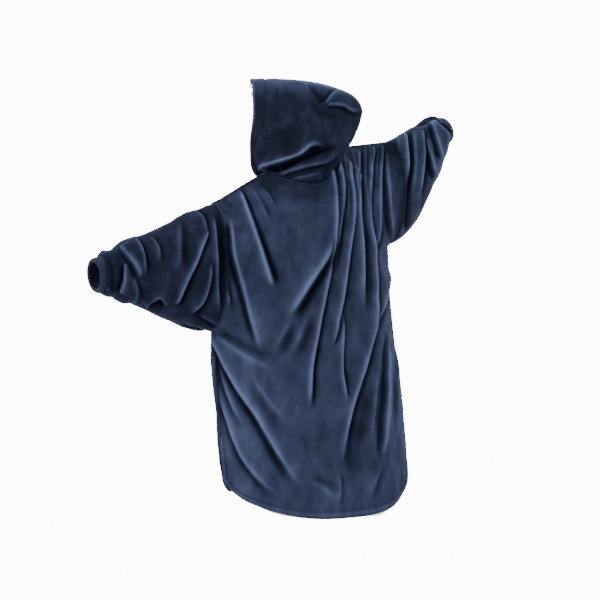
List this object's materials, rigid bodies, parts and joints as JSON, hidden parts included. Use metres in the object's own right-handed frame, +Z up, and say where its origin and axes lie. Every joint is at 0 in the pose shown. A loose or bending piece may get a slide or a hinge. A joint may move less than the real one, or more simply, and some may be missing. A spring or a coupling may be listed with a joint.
{
  "type": "hooded wearable blanket",
  "caption": "Oversized hooded wearable blanket in navy plush with a curly fleece lining, rib cuffs, a front pocket and a shirt-tail hem with side slits, held open as worn.",
  "frame": {"origin": "midway between the two sides of the neck opening", "axes": "+Z up, along the wearer's neck; the front faces -Y; the wearer's left is +X. The wearer leans: the left sleeve points down, the right sleeve points up and the hood is turned about 60 degrees to the left"},
  "size_m": [1.2915, 0.4047, 1.2675],
  "materials": {
    "plush": "short soft plush pile",
    "fleece": "curly sherpa fleece",
    "rib": "rib knit",
    "tape": "woven cotton tape",
    "label": "blank satin",
    "thread": "sewing thread"
  },
  "bodies": {
    "torso": {"back_panel": "plush", "front_panel": "plush", "back_lining": "fleece", "front_lining": "fleece", "back_hem_roll": "plush", "front_hem_roll": "plush", "pocket_panel": "plush", "left_pocket_hem": "plush", "right_pocket_hem": "plush", "neck_tape": "tape", "hanger_loop": "tape", "neck_label": "label", "care_label": "label", "left_slit_tack": "thread", "right_slit_tack": "thread", "left_sleeve_head": "plush", "right_sleeve_head": "plush"},
    "left_sleeve": {"left_sleeve_panel": "plush", "left_sleeve_lining": "fleece", "left_cuff": "rib"},
    "right_sleeve": {"right_sleeve_panel": "plush", "right_sleeve_lining": "fleece", "right_cuff": "rib"},
    "hood": {"hood_left_panel": "plush", "hood_right_panel": "plush", "hood_left_lining": "fleece", "hood_right_lining": "fleece", "hood_edge_roll": "plush"}
  },
  "joints": [
    {"name": "left_sleeve_swing", "type": "hinge", "parent": "torso", "child": "left_sleeve", "pos_m": [0.2925, 0.035, -0.305], "axis": [0, -1, 0], "range_deg": [-40, 40], "deforming": ["left_sleeve_head"]},
    {"name": "right_sleeve_swing", "type": "hinge", "parent": "torso", "child": "right_sleeve", "pos_m": [-0.306, -0.02, -0.0685], "axis": [0, 1, 0], "range_deg": [-45, 35], "deforming": ["right_sleeve_head"]},
    {"name": "hood_fold", "type": "hinge", "parent": "torso", "child": "hood", "pos_m": [-0.016, 0.11, -0.052], "axis": [-0.9397, 0, 0.3419], "range_deg": [0, 75]}
  ]
}
